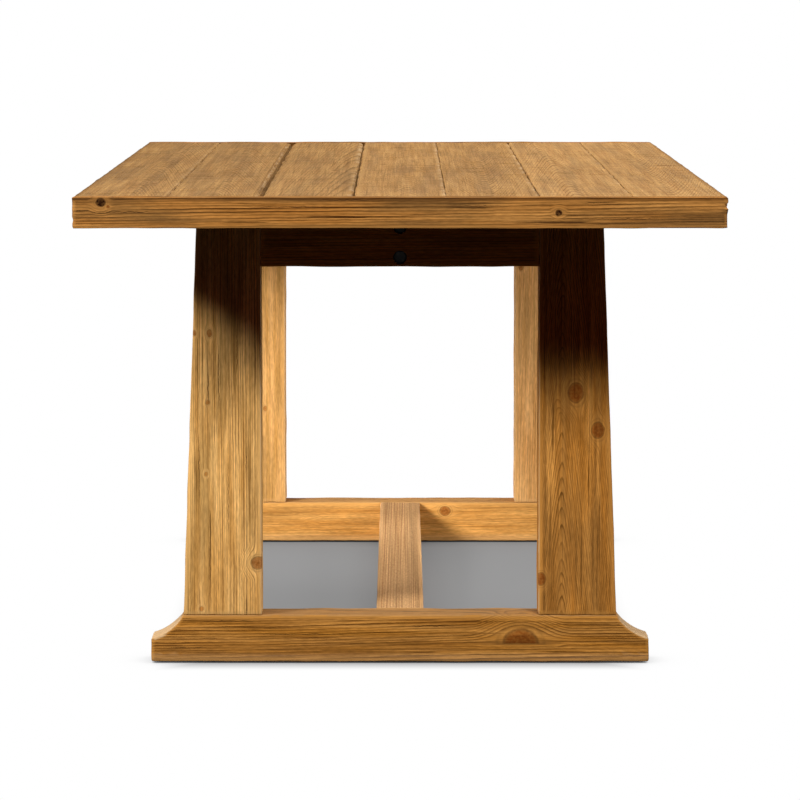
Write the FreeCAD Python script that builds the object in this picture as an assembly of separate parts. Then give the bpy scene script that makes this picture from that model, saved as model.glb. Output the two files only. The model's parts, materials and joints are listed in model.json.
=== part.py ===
import FreeCAD, Part
import os
from math import cos, pi, sin, sqrt

Vector = FreeCAD.Vector

# Trestle dining table, in millimetres. X runs across the table, Y along it and Z up.
# The origin is on the floor under the middle of the top. The front is at -Y, the left at -X.

# Overall size
table_length = 2100.0
table_width = 1000.0
table_height = 760.0

# Plank top, with a cap board across the ends of the planks
top_thickness = 47.0
plank_pairs = 3                 # planks on each side of the middle one
plank_gap = 0.8
cap_depth = 38.0
tongue_length = 20.0
tongue_thickness = 15.0
tongue_setback = 24.0           # from the long edge of the top, so that the cap hides the groove
spline_thickness = 8.0
spline_reach = 15.0             # into each of its two planks
spline_setback = 12.0           # short of the plank's end
cap_peg_side = 8.0
cap_peg_overrun = 6.0           # past the tongue, short of the cap's upper face
cap_peg_play = 3.0              # room each way along the cap, for planks that swell

# Trestles
trestle_setback = 270.0         # from the trestle's outer face to the end of the top
timber = 75.0                   # thickness of a trestle along the table
base_height = 75.0
cove_run = 52.0                 # from the leg to the end of the base
cove_end_height = 37.5          # upright part of the base's end
cove_hollow = 6.0               # depth of the cove under its chord
leg_opening = 442.0
leg_foot_width = 125.0
leg_head_width = 102.0
leg_tenon_shoulder = 20.0
leg_tenon_thickness = 25.0
leg_tenon_length = 45.0
rail_height = 77.0
rail_tenon_shoulder = 13.5
rail_tenon_thickness = 25.0
rail_tenon_length = 45.0

# Long members between the trestles
beam_width = 75.0
stretcher_width = 76.0
stretcher_side_shoulder = 18.0
stretcher_edge_shoulder = 17.5
stretcher_tenon_length = 36.0

# Bolts that draw the beam against the rails, with square nuts in a pocket under each end of the beam
bolt_diameter = 10.0
bolt_head_flats = 17.0
bolt_head_height = 6.4
bolt_seat_depth = 22.0          # from the rail's outer face to the washer
bolt_margin = 3.5               # wood between a counterbore and the rail's edge
bolt_past_nut = 5.0
nut_side = 17.0
nut_thickness = 8.0
nut_setback = 45.0              # from the beam's end to the nut
nut_room = 9.0                  # past the end of the bolt
washer_thickness = 2.0

# Hexagon coach screws, from under the bases, the rails and the beam
coach_diameter = 8.0
coach_head_flats = 13.0
coach_head_height = 5.5
base_screw_depth = 9.0          # from the underside of a base to the screw's seat
base_screw_overrun = 6.0        # past the stretcher's tenon
top_screw_web = 35.0            # wood between the screw's seat and the top
top_screw_bite = 26.0           # length inside a plank
beam_screw_setback = 285.0      # from the beam's end

# Foot glides, square felt pads
glide_side = 30.0
glide_height = 3.0
glide_setback = 38.0            # from the end of the base
glide_spacing = 150.0

# Eased edges and fits
top_arris = 2.0
timber_arris = 3.0
joint_clearance = 0.2           # on each side of a tenon, a tongue or a nut
end_room = 1.0                  # past the end of a tenon, a tongue, a peg or a screw
spline_clearance = 0.15
peg_clearance = 0.1
bolt_clearance = 0.5
thread_clearance = 0.05
washer_clearance = 0.3
socket_clearance = 1.2          # between the corners of a hexagon head and its counterbore

# Places that follow from these sizes
underside = table_height - top_thickness
top_middle = underside + top_thickness / 2
half_length = table_length / 2
half_width = table_width / 2
plank_count = 2 * plank_pairs + 1
plank_width = (table_width - (plank_count - 1) * plank_gap) / plank_count
plank_pitch = plank_width + plank_gap
plank_centres = [(i - plank_pairs) * plank_pitch for i in range(plank_count)]
plank_end = half_length - cap_depth
peg_place = plank_end + tongue_length / 2
peg_top = top_middle + tongue_thickness / 2 + cap_peg_overrun
pegged_planks = [i for i in range(plank_count) if (i - plank_pairs) % 2 == 0]
base_bottom = glide_height
base_top = base_bottom + base_height
base_middle = base_bottom + base_height / 2
half_opening = leg_opening / 2
leg_foot = half_opening + leg_foot_width
leg_head = half_opening + leg_head_width
leg_foot_middle = half_opening + leg_foot_width / 2
leg_tenon_width = leg_foot_width - 2 * leg_tenon_shoulder
half_base = leg_foot + cove_run
rail_bottom = underside - rail_height
rail_middle = underside - rail_height / 2
rail_tenon_height = rail_height - 2 * rail_tenon_shoulder
stretcher_tenon_width = stretcher_width - 2 * stretcher_side_shoulder
stretcher_tenon_height = base_height - 2 * stretcher_edge_shoulder
outer_face = half_length - trestle_setback
inner_face = outer_face - timber
trestle_middle = (outer_face + inner_face) / 2
bolt_counterbore = bolt_head_flats * 2 / sqrt(3) + 2 * socket_clearance
bolt_edge = bolt_margin + bolt_counterbore / 2
bolt_levels = [rail_bottom + bolt_edge, underside - bolt_edge]
bolt_places = [(end, level) for end in (-1, 1) for level in bolt_levels]
bolt_seat = outer_face - bolt_seat_depth
nut_face = inner_face - nut_setback
bolt_end = nut_face - nut_thickness - bolt_past_nut
coach_counterbore = coach_head_flats * 2 / sqrt(3) + 2 * socket_clearance
base_screw_place = inner_face + stretcher_tenon_length / 2
base_screw_seat = base_bottom + base_screw_depth
base_screw_end = base_middle + stretcher_tenon_height / 2 + base_screw_overrun
top_screw_seat = underside - top_screw_web
top_screw_end = underside + top_screw_bite
rail_screw_places = [-plank_pitch, plank_pitch]
beam_screw_places = [beam_screw_setback - inner_face, 0, inner_face - beam_screw_setback]
top_screw_places = [(x, end * trestle_middle) for x in rail_screw_places for end in (-1, 1)]
top_screw_places += [(0, y) for y in beam_screw_places]
glide_places = [side * (half_base - glide_setback - step) for side in (-1, 1) for step in (0, glide_spacing)]


def block(xs, ys, zs):
    """A box between two values along each axis, given in either order."""
    low = Vector(min(xs), min(ys), min(zs))
    return Part.makeBox(abs(xs[1] - xs[0]), abs(ys[1] - ys[0]), abs(zs[1] - zs[0]), low)


def about(middle, size):
    """The two ends of a size that is centred on a place."""
    return (middle - size / 2, middle + size / 2)


def rod(start, end, diameter):
    axis = end - start
    return Part.makeCylinder(diameter / 2, axis.Length, start, axis)


def hexagon(start, end, flats):
    axis = end - start
    turn = FreeCAD.Rotation(Vector(0, 0, 1), axis)
    reach = flats / sqrt(3)
    corners = [start + turn.multVec(Vector(reach * cos(k * pi / 3), reach * sin(k * pi / 3), 0))
               for k in range(7)]
    return Part.Face(Part.makePolygon(corners)).extrude(axis)


def eased(solid, direction, arris):
    """The solid with its straight edges along one direction planed off to a small flat."""
    edges = [edge for edge in solid.Edges
             if abs(edge.tangentAt(edge.FirstParameter).dot(direction)) > 0.99]
    return solid.makeChamfer(arris, edges)


def plank(index):
    """One plank of the top, with a tongue on each end and a spline groove on each joined edge."""
    left, right = about(plank_centres[index], plank_width)
    body_ys = (-plank_end, plank_end)
    solid = eased(block((left, right), body_ys, (underside, table_height)), Vector(0, 1, 0), top_arris)
    tongue_xs = (max(left, tongue_setback - half_width), min(right, half_width - tongue_setback))
    tongue_end = plank_end + tongue_length
    tongues = block(tongue_xs, (-tongue_end, tongue_end), about(top_middle, tongue_thickness))
    solid = solid.fuse(tongues).removeSplitter()
    groove_zs = about(top_middle, spline_thickness + 2 * spline_clearance)
    groove_depth = spline_reach + spline_clearance
    cuts = []
    if index > 0:
        cuts.append(block((left, left + groove_depth), body_ys, groove_zs))
    if index < plank_count - 1:
        cuts.append(block((right - groove_depth, right), body_ys, groove_zs))
    if index in pegged_planks:
        play = 0 if index == plank_pairs else cap_peg_play
        slot = cap_peg_side + 2 * peg_clearance
        for end in (-1, 1):
            cuts.append(block(about(plank_centres[index], slot + 2 * play), about(end * peg_place, slot),
                              about(top_middle, tongue_thickness)))
    for x, y in top_screw_places:
        if left < x < right:
            cuts.append(rod(Vector(x, y, underside), Vector(x, y, top_screw_end + end_room),
                            coach_diameter + 2 * thread_clearance))
    return solid.cut(cuts)


def spline(index):
    """The loose tongue between a plank and the next one."""
    joint = (plank_centres[index] + plank_centres[index + 1]) / 2
    half_run = plank_end - spline_setback
    return block(about(joint, plank_gap + 2 * spline_reach), (-half_run, half_run),
                 about(top_middle, spline_thickness))


def end_cap(end):
    """A cap board, grooved for the tongues and mortised from below for its pegs."""
    solid = block((-half_width, half_width), (end * plank_end, end * half_length), (underside, table_height))
    solid = solid.makeChamfer(top_arris, solid.Edges)
    groove_half = half_width - tongue_setback + joint_clearance
    groove_end = plank_end + tongue_length + end_room
    cuts = [block((-groove_half, groove_half), (end * plank_end, end * groove_end),
                  about(top_middle, tongue_thickness + 2 * joint_clearance))]
    hole = cap_peg_side + 2 * peg_clearance
    for i in pegged_planks:
        cuts.append(block(about(plank_centres[i], hole), about(end * peg_place, hole),
                          (underside, peg_top + end_room)))
    return solid.cut(cuts)


def cap_pegs(end):
    return [block(about(plank_centres[i], cap_peg_side), about(end * peg_place, cap_peg_side),
                  (underside, peg_top)) for i in pegged_planks]


def base_outline():
    """Front view of a base: flat below, upright ends, and a cove from each end up to its leg."""
    top_corner = Vector(leg_foot, 0, base_top)
    end_corner = Vector(half_base, 0, base_bottom + cove_end_height)
    chord = end_corner - top_corner
    inward = Vector(chord.z, 0, -chord.x).normalize()
    hollow = (top_corner + end_corner) / 2 + inward * cove_hollow
    edges = []
    for side in (-1, 1):
        cove = [Vector(side * p.x, 0, p.z) for p in (top_corner, hollow, end_corner)]
        edges.append(Part.Arc(*cove).toShape())
        edges.append(Part.makeLine(cove[2], Vector(side * half_base, 0, base_bottom)))
    edges.append(Part.makeLine(Vector(-leg_foot, 0, base_top), Vector(leg_foot, 0, base_top)))
    edges.append(Part.makeLine(Vector(-half_base, 0, base_bottom), Vector(half_base, 0, base_bottom)))
    return Part.Face(Part.Wire(Part.__sortEdges__(edges)))


def base(end):
    """The floor beam of a trestle, mortised for its legs and for the stretcher."""
    face = base_outline()
    face.translate(Vector(0, end * trestle_middle - timber / 2, 0))
    solid = face.extrude(Vector(0, timber, 0))
    outline = [edge for edge in solid.Edges if abs(edge.tangentAt(edge.FirstParameter).y) < 0.5]
    solid = solid.makeChamfer(timber_arris, outline)
    cuts = []
    for side in (-1, 1):
        cuts.append(block(about(side * leg_foot_middle, leg_tenon_width + 2 * joint_clearance),
                          about(end * trestle_middle, leg_tenon_thickness + 2 * joint_clearance),
                          (base_top - leg_tenon_length - end_room, base_top)))
    mortise_end = inner_face + stretcher_tenon_length + end_room
    cuts.append(block(about(0, stretcher_tenon_width + 2 * joint_clearance),
                      (end * inner_face, end * mortise_end),
                      about(base_middle, stretcher_tenon_height + 2 * joint_clearance)))
    y = end * base_screw_place
    cuts.append(rod(Vector(0, y, base_bottom), Vector(0, y, base_screw_seat), coach_counterbore))
    cuts.append(rod(Vector(0, y, base_bottom), Vector(0, y, base_screw_end + end_room),
                    coach_diameter + 2 * thread_clearance))
    return solid.cut(cuts)


def leg(side, end):
    """A leg with an upright inner edge and a battered outer edge, tenoned into its base."""
    outline = [(half_opening, base_top), (leg_foot, base_top),
               (leg_head, underside), (half_opening, underside)]
    near = end * trestle_middle - timber / 2
    corners = [Vector(side * x, near, z) for x, z in outline + outline[:1]]
    solid = Part.Face(Part.makePolygon(corners)).extrude(Vector(0, timber, 0))
    solid = eased(solid, Vector(0, 0, 1), timber_arris)
    tenon = block(about(side * leg_foot_middle, leg_tenon_width),
                  about(end * trestle_middle, leg_tenon_thickness),
                  (base_top - leg_tenon_length, base_top))
    mortise_end = half_opening + rail_tenon_length + end_room
    mortise = block((side * half_opening, side * mortise_end),
                    about(end * trestle_middle, rail_tenon_thickness + 2 * joint_clearance),
                    about(rail_middle, rail_tenon_height + 2 * joint_clearance))
    return solid.fuse(tenon).removeSplitter().cut(mortise)


def top_screw_holes(x, y):
    """A counterbore from below and a shank hole, for a screw that holds the top down."""
    seat = Vector(x, y, top_screw_seat)
    return [rod(Vector(x, y, rail_bottom), seat, coach_counterbore),
            rod(seat, Vector(x, y, underside), coach_diameter + 2 * bolt_clearance)]


def top_rail(end):
    """The rail between the heads of two legs, bored for the beam's bolts."""
    ys = (end * inner_face, end * outer_face)
    solid = eased(block((-half_opening, half_opening), ys, (rail_bottom, underside)),
                  Vector(1, 0, 0), timber_arris)
    tenon_end = half_opening + rail_tenon_length
    tenons = block((-tenon_end, tenon_end), about(end * trestle_middle, rail_tenon_thickness),
                   about(rail_middle, rail_tenon_height))
    solid = solid.fuse(tenons).removeSplitter()
    cuts = []
    for level in bolt_levels:
        seat = Vector(0, end * bolt_seat, level)
        cuts.append(rod(Vector(0, ys[1], level), seat, bolt_counterbore))
        cuts.append(rod(seat, Vector(0, ys[0], level), bolt_diameter + 2 * bolt_clearance))
    for x in rail_screw_places:
        cuts.extend(top_screw_holes(x, end * trestle_middle))
    return solid.cut(cuts)


def upper_beam():
    """The beam under the top, as deep as the rails, with a bolt bore and a nut pocket for each bolt."""
    solid = eased(block(about(0, beam_width), (-inner_face, inner_face), (rail_bottom, underside)),
                  Vector(0, 1, 0), timber_arris)
    pocket_width = nut_side + 2 * joint_clearance
    pocket_top = bolt_levels[1] + pocket_width / 2
    cuts = []
    for end in (-1, 1):
        cuts.append(block(about(0, pocket_width), (end * nut_face, end * (bolt_end - nut_room)),
                          (rail_bottom, pocket_top)))
        for level in bolt_levels:
            cuts.append(rod(Vector(0, end * inner_face, level), Vector(0, end * nut_face, level),
                            bolt_diameter + 2 * bolt_clearance))
    for y in beam_screw_places:
        cuts.extend(top_screw_holes(0, y))
    return solid.cut(cuts)


def lower_stretcher():
    """The floor stretcher, flush with the bases and tenoned into them."""
    solid = eased(block(about(0, stretcher_width), (-inner_face, inner_face), (base_bottom, base_top)),
                  Vector(0, 1, 0), timber_arris)
    tenon_end = inner_face + stretcher_tenon_length
    tenons = block(about(0, stretcher_tenon_width), (-tenon_end, tenon_end),
                   about(base_middle, stretcher_tenon_height))
    solid = solid.fuse(tenons).removeSplitter()
    cuts = [rod(Vector(0, end * base_screw_place, base_bottom), Vector(0, end * base_screw_place, base_top),
                coach_diameter + 2 * thread_clearance) for end in (-1, 1)]
    return solid.cut(cuts)


def beam_bolts():
    """Hexagon bolts, each with its head on a washer at the bottom of a counterbore."""
    bolts = []
    for end, level in bolt_places:
        neck = Vector(0, end * (bolt_seat + washer_thickness), level)
        shank = rod(neck, Vector(0, end * bolt_end, level), bolt_diameter)
        head = hexagon(neck, neck + Vector(0, end * bolt_head_height, 0), bolt_head_flats)
        bolts.append(shank.fuse(head))
    return bolts


def beam_washers():
    washers = []
    for end, level in bolt_places:
        seat = Vector(0, end * bolt_seat, level)
        face = Vector(0, end * (bolt_seat + washer_thickness), level)
        disc = rod(seat, face, bolt_counterbore - 2 * washer_clearance)
        washers.append(disc.cut(rod(seat, face, bolt_diameter + 2 * washer_clearance)))
    return washers


def beam_nuts():
    """Square nuts that the walls of their pocket keep from turning."""
    nuts = []
    for end, level in bolt_places:
        ys = (end * nut_face, end * (nut_face - nut_thickness))
        hole = rod(Vector(0, ys[0], level), Vector(0, ys[1], level), bolt_diameter + 2 * thread_clearance)
        nuts.append(block(about(0, nut_side), ys, about(level, nut_side)).cut(hole))
    return nuts


def coach_screw(x, y, seat, end):
    """A coach screw that points up, with its hexagon head under its seat."""
    neck = Vector(x, y, seat)
    head = hexagon(neck, neck - Vector(0, 0, coach_head_height), coach_head_flats)
    return rod(neck, Vector(x, y, end), coach_diameter).fuse(head)


def foot_glides(end):
    """Pads that hold a base just off the floor."""
    ys = about(end * trestle_middle, glide_side)
    return [block(about(x, glide_side), ys, (0, base_bottom)) for x in glide_places]


nodes = {}
for i in range(plank_count):
    nodes[f"top_plank_{i + 1}"] = [plank(i)]
for i in range(plank_count - 1):
    nodes[f"plank_spline_{i + 1}"] = [spline(i)]
for end_name, end in (("front", -1), ("back", 1)):
    nodes[f"{end_name}_end_cap"] = [end_cap(end)]
    nodes[f"{end_name}_cap_pegs"] = cap_pegs(end)
    nodes[f"{end_name}_base"] = [base(end)]
    for side_name, side in (("left", -1), ("right", 1)):
        nodes[f"{end_name}_{side_name}_leg"] = [leg(side, end)]
    nodes[f"{end_name}_top_rail"] = [top_rail(end)]
    nodes[f"{end_name}_glides"] = foot_glides(end)
nodes["upper_beam"] = [upper_beam()]
nodes["beam_bolts"] = beam_bolts()
nodes["beam_washers"] = beam_washers()
nodes["beam_nuts"] = beam_nuts()
nodes["top_screws"] = [coach_screw(x, y, top_screw_seat, top_screw_end) for x, y in top_screw_places]
nodes["lower_stretcher"] = [lower_stretcher()]
nodes["stretcher_screws"] = [coach_screw(0, end * base_screw_place, base_screw_seat, base_screw_end)
                             for end in (-1, 1)]

os.makedirs("parts", exist_ok=True)
for name, solids in nodes.items():
    shape = solids[0] if len(solids) == 1 else Part.makeCompound(solids)
    shape.exportStep(f"parts/{name}.step")
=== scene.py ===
import json
from math import radians, sqrt

import bpy
import numpy as np
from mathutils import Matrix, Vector, noise as torn_noise


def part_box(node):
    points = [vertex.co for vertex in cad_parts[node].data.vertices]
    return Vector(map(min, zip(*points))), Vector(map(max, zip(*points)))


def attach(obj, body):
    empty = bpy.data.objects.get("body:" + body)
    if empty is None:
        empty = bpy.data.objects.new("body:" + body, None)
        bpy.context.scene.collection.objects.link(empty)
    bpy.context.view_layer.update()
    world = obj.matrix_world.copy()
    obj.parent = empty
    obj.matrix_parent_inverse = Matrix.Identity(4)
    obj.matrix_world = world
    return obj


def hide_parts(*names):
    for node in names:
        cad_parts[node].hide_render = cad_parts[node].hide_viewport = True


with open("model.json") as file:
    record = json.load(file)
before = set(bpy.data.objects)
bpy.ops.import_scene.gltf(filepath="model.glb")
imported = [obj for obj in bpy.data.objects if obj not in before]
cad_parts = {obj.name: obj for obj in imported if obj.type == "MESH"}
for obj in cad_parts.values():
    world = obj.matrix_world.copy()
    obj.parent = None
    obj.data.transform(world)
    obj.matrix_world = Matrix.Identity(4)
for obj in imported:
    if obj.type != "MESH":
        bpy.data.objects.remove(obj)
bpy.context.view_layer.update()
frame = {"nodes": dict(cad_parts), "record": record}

# Trestle dining table in old pine, in metres: X across the table, Y along it, Z up.
# Each timber is sawn, eased, worn and given its own tree: a heart, rings, knots and cracks.

MM = 0.001
X, Y, Z = range(3)

# Sizes of the timbers that their boxes don't give
LEG_HEAD_WIDTH = 102 * MM
COVE_END_HEIGHT = 37.5 * MM
COVE_HOLLOW = 6 * MM
COVE_STEPS = 8
TOP_ARRIS = 1.6 * MM
TIMBER_ARRIS = 2.4 * MM

# Counterbores in the rails, for bolts from the outer face and for screws from below
BOLT_BORE = 22 * MM
BOLT_BORE_DEPTH = 22 * MM
BOLT_EDGE = 14.5 * MM
SCREW_BORE = 17.4 * MM
SCREW_BORE_DEPTH = 42 * MM
BORE_SIDES = 40
DRILL_START = 10 * MM              # outside the timber

# Cuts along each axis, so that the faces can take relief. A second number cuts each part again.
PLANK_CUTS = {Y: (19, 19), X: (19,), Z: (5,)}
CAP_CUTS = {X: (13, 13), Y: (5,), Z: (7,)}
LEG_CUTS = {Z: (9, 9), X: (17,), Y: (10,)}
BASE_CUTS = {X: (10, 9), Y: (10,), Z: (10,)}
RAIL_CUTS = {X: (9, 6), Y: (9,), Z: (9,)}
LONG_TIMBER_CUTS = {Y: (14, 12), X: (11,), Z: (10,)}
ARRIS_EDGE = 6 * MM                # edges up to this length belong to an arris and stay whole
COVE_EDGE = 20 * MM                # on a base, so do the edges of the coves

# Points this close count as in one place
CLOSE = 1 * MM
VERY_CLOSE = 0.1 * MM

# How edges and faces are told apart: by angles in degrees, or by how much of a direction lies along an axis
SHARP_ANGLE = 30
SMOOTH_ANGLE = 40
ALONG = 0.9
ARRIS_COSINE = 0.95                # two faces whose normals agree by less than this meet in an arris
UP, MOSTLY_UP, PARTLY = 0.9, 0.6, 0.2

# Relief: how deep the saw and the years went, the waves' lengths, and the shift from timber to timber
SAW_DEPTH = 1.3 * MM
SAW_MARK = (80 * MM, 16 * MM, 1.0)
SAW_MARK_SHARE = (0.67, 0.78)      # of the cloud's range: where a dent starts and where it is full
SAW_MARK_SHIFT = (0.37, 0.11, 0.0)
GAP_WANE = 4 * MM
GAP_WAVE = (16 * MM, 60 * MM, 16 * MM)
GAP_SHIFT = (0.21, 0.33, 0.0)
WANE_DEPTH = 2.2 * MM
WANE_WAVE, WANE_RUN = 22 * MM, 70 * MM            # across and along the grain
HOLLOW_DEPTH = 0.7 * MM
HOLLOW_WAVE, HOLLOW_RUN = 34 * MM, 260 * MM
WEAR_SHIFT = (0.13, 0.29, 0.17)
CHIP_DEPTH = 5 * MM
CHIP_WAVE = (9 * MM, 9 * MM, 7 * MM)
CHIP_SHARE = (0.5, 0.75)
CHIP_PLACE = (0.05, 0.02, 0.03)
CHIP_REACH = 5 * MM                # from the ends of a cap board

# How many shifts each timber lies from the first, so that no two are worn alike
WEAR_SEEDS = {
    "top_plank_1": 1, "top_plank_2": 2, "top_plank_3": 3, "top_plank_4": 4, "top_plank_5": 5,
    "top_plank_6": 6, "top_plank_7": 7, "front_end_cap": 11, "back_end_cap": 12,
    "front_left_leg": 25, "front_right_leg": 24, "back_left_leg": 21, "back_right_leg": 23,
    "front_base": 31, "back_base": 32, "front_top_rail": 41, "back_top_rail": 42,
    "lower_stretcher": 51, "upper_beam": 52,
}
STRETCHER_WEAR = 0.35

# The gaps between the planks, from left to right: their worn arrises, the dirt and painted shade on the
# right side of each, and the pale on its left side, torn fibres and a painted highlight
GAP_ARRISES = [2 * MM, 11 * MM, 5 * MM, 2 * MM, 3 * MM, 2 * MM]
GAP_DIRT_AND_SHADE = [0.35, 0.38, 0.65, 0.25, 0.7, 0.3]
GAP_TEARS_AND_HIGHLIGHTS = [0.15, 0.35, 0.38, 0.45, 0.4, 0.2]
GAP_DIRT_AND_SHADE_LEFT = 0.35               # share of the dirt and painted shade that the left side gets
GAP_SIDE, GAP_DEEP = 7 * MM, 8 * MM               # how far a gap's wane reaches, sideways and down
GAP_DARK_SIDE = 9 * MM
GAP_DARK_START, GAP_DARK_RUN = 1.5 * MM, 2.5 * MM         # under the top: where the dirt and painted shade start and how soon they are full
TEAR_LENGTH = 55 * MM
TEAR_SIDE, TEAR_DEEP = 8 * MM, 2.5 * MM
TEAR_LEVEL, TEAR_CONTRAST, TEAR_SHIFT = 0.45, 1.3, 3.7

# Hands have darkened the top's edges. Shoes have rubbed the bases pale, on top and up to a height on the
# sides, and the bases' tops are darker between the legs. The legs' inner arrises get a painted highlight,
# and the coves are pale as fresh-cut wood and with a painted highlight.
HANDLED = -1
PLANK_HANDLED_EDGE = 2 * MM
CAP_HANDLED_EDGE = 2.5 * MM
RUBBED = 0.14
RUBBED_HEIGHT = 13 * MM
BASE_TOP_DARKENING = 0.28
INNER_ARRIS_HIGHLIGHT = 0.6
INNER_ARRIS_HIGHLIGHT_WIDTH = 1.5 * MM
COVE_PALE = 0.72
COVE_START = 3 * MM                # from the leg


# Modelling

def only(piece):
    """Selects one piece alone."""
    bpy.ops.object.select_all(action="DESELECT")
    piece.select_set(True)
    bpy.context.view_layer.objects.active = piece


def pick(piece, kind, wanted):
    """Goes into edit mode with the vertices or edges selected whose ends are wanted."""
    only(piece)
    bpy.ops.object.mode_set(mode="EDIT")
    bpy.ops.mesh.select_mode(type=kind)
    bpy.ops.mesh.select_all(action="DESELECT")
    bpy.ops.object.mode_set(mode="OBJECT")
    points = [v.co for v in piece.data.vertices]
    if kind == "VERT":
        for vertex in piece.data.vertices:
            vertex.select = wanted(vertex.co)
    else:
        for edge in piece.data.edges:
            edge.select = wanted(*[points[i] for i in edge.vertices])
    bpy.ops.object.mode_set(mode="EDIT")


def done():
    """Leaves edit mode."""
    bpy.ops.object.mode_set(mode="OBJECT")


def modify(piece, kind, **settings):
    """Adds a modifier and applies it."""
    only(piece)
    bpy.ops.object.modifier_add(type=kind)
    modifier = piece.modifiers[-1]
    for key, value in settings.items():
        setattr(modifier, key, value)
    bpy.ops.object.modifier_apply(modifier=modifier.name)


def sawn(name, low, high):
    """A sawn block between two corners."""
    bpy.ops.object.select_all(action="DESELECT")
    bpy.ops.mesh.primitive_cube_add(size=1, location=(low + high) / 2, scale=high - low)
    piece = bpy.context.object
    bpy.ops.object.transform_apply(location=True, rotation=True, scale=True)
    piece.name = piece.data.name = name
    return piece


def eased(piece, width):
    """Rounds every sharp edge."""
    modify(piece, "BEVEL", width=width, segments=2, limit_method="ANGLE", angle_limit=radians(SHARP_ANGLE))


def divided(piece, cuts, longest_kept):
    """Cuts the longer edges along each axis, so that the faces can take relief."""
    for axis, numbers in cuts.items():
        def along(a, b):
            run = b - a
            return run.length > longest_kept and abs(run[axis]) > ALONG * run.length
        for number in numbers:
            pick(piece, "EDGE", along)
            bpy.ops.mesh.subdivide(number_cuts=number)
            done()


def moved(piece, wanted, shift):
    """Moves the wanted points."""
    pick(piece, "VERT", wanted)
    bpy.ops.transform.translate(value=shift)
    done()


def bored(piece, start, end, diameter):
    """A round hole from outside the piece to a depth."""
    axis = end - start
    bpy.ops.object.select_all(action="DESELECT")
    bpy.ops.mesh.primitive_cylinder_add(vertices=BORE_SIDES, radius=diameter / 2, depth=axis.length,
                                        location=(start + end) / 2,
                                        rotation=axis.to_track_quat("Z", "Y").to_euler())
    drill = bpy.context.object
    modify(piece, "BOOLEAN", object=drill, operation="DIFFERENCE", solver="EXACT")
    bpy.data.objects.remove(drill)


def marked(piece, name, points):
    """Notes points as a group that relief can be kept to."""
    piece.vertex_groups.new(name=name).add(points, 1.0, "REPLACE")


def mark_arrises(piece):
    """Notes the rounded edges, for wear and a painted highlight: the points where faces that turn from each
    other meet.
    """
    around = {}
    for face in piece.data.polygons:
        for point in face.vertices:
            around.setdefault(point, []).append(face.normal)
    worn = [point for point, normals in around.items()
            if min(normals[0].dot(n) for n in normals) < ARRIS_COSINE]
    marked(piece, "arris", worn)
    wear = piece.data.attributes.new("arris_wear_and_highlight", "FLOAT", "POINT")
    for point in worn:
        wear.data[point].value = 1.0


def tinted(piece, name, amount):
    """Keeps how strong a tint is at each point, for stains, wear and painted light: amount is a function of
    the point's place and normal.
    """
    overlay = piece.data.attributes.get(name) or piece.data.attributes.new(name, "FLOAT", "POINT")
    for vertex in piece.data.vertices:
        value = amount(vertex.co, vertex.normal)
        if value is not None:
            overlay.data[vertex.index].value = value


def rough(piece, waves, depth, origin=(0, 0, 0), group="", sparse=None):
    """Pushes the surface in and out by a cloud noise whose waves have real lengths along X, Y and Z."""
    bpy.ops.object.select_all(action="DESELECT")
    bpy.ops.object.empty_add(location=origin)
    ruler = bpy.context.object
    ruler.scale = waves
    bpy.context.view_layer.update()
    relief = bpy.data.textures.new("relief", "CLOUDS")
    relief.noise_scale = 1.0
    relief.noise_depth = 1
    middle = 0.5
    if sparse:
        relief.use_color_ramp = True
        first, last = relief.color_ramp.elements
        first.position, last.position = sparse
        middle = 0.0
    modify(piece, "DISPLACE", texture=relief, texture_coords="OBJECT", texture_coords_object=ruler,
           strength=depth, mid_level=middle, vertex_group=group)
    bpy.data.objects.remove(ruler)
    bpy.data.textures.remove(relief)


def shifted(step, seed):
    """The place in the cloud noise that a timber's relief is taken from."""
    return [distance * seed for distance in step]


def heights(piece):
    """How high each point lies."""
    points = np.empty(len(piece.data.vertices) * 3)
    piece.data.vertices.foreach_get("co", points)
    return points[2::3]


def saw_marks(piece, seed):
    """Short dents that the saw left across a plank's upper face, kept as an attribute for their dirt and
    painted shade.
    """
    worn = piece.data.attributes["arris_wear_and_highlight"].data
    marked(piece, "upper", [v.index for v in piece.data.vertices
                            if v.normal.z > UP and worn[v.index].value == 0])
    before = heights(piece)
    rough(piece, SAW_MARK, -SAW_DEPTH, shifted(SAW_MARK_SHIFT, seed), "upper", SAW_MARK_SHARE)
    dents = piece.data.attributes.new("saw_dent", "FLOAT", "POINT")
    dents.data.foreach_set("value", ((before - heights(piece)) / SAW_DEPTH).astype(np.float32))


def worked(piece, node, arris, cuts, grain, wear=1.0, longest_kept=ARRIS_EDGE):
    """Eases a sawn timber and wears it: wane along the arrises and shallow hollows along the grain."""
    eased(piece, arris)
    divided(piece, cuts, longest_kept)
    mark_arrises(piece)
    wane, hollow = [WANE_WAVE] * 3, [HOLLOW_WAVE] * 3
    wane[grain], hollow[grain] = WANE_RUN, HOLLOW_RUN
    origin = shifted(WEAR_SHIFT, WEAR_SEEDS[node])
    rough(piece, wane, wear * WANE_DEPTH, origin, "arris")
    rough(piece, hollow, wear * HOLLOW_DEPTH, origin)


def fitted(piece, node, material):
    """Dresses a piece and puts it in its node's place."""
    only(piece)
    bpy.ops.object.shade_smooth_by_angle(angle=radians(SMOOTH_ANGLE))
    piece.data.materials.append(material)
    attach(piece, "root")
    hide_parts(node)


# Materials

def colour(text):
    """A linear colour from an sRGB hex value."""
    channels = [int(text[i:i + 2], 16) / 255 for i in (1, 3, 5)]
    return (*[c / 12.92 if c <= 0.04045 else ((c + 0.055) / 1.055) ** 2.4 for c in channels], 1.0)


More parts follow.
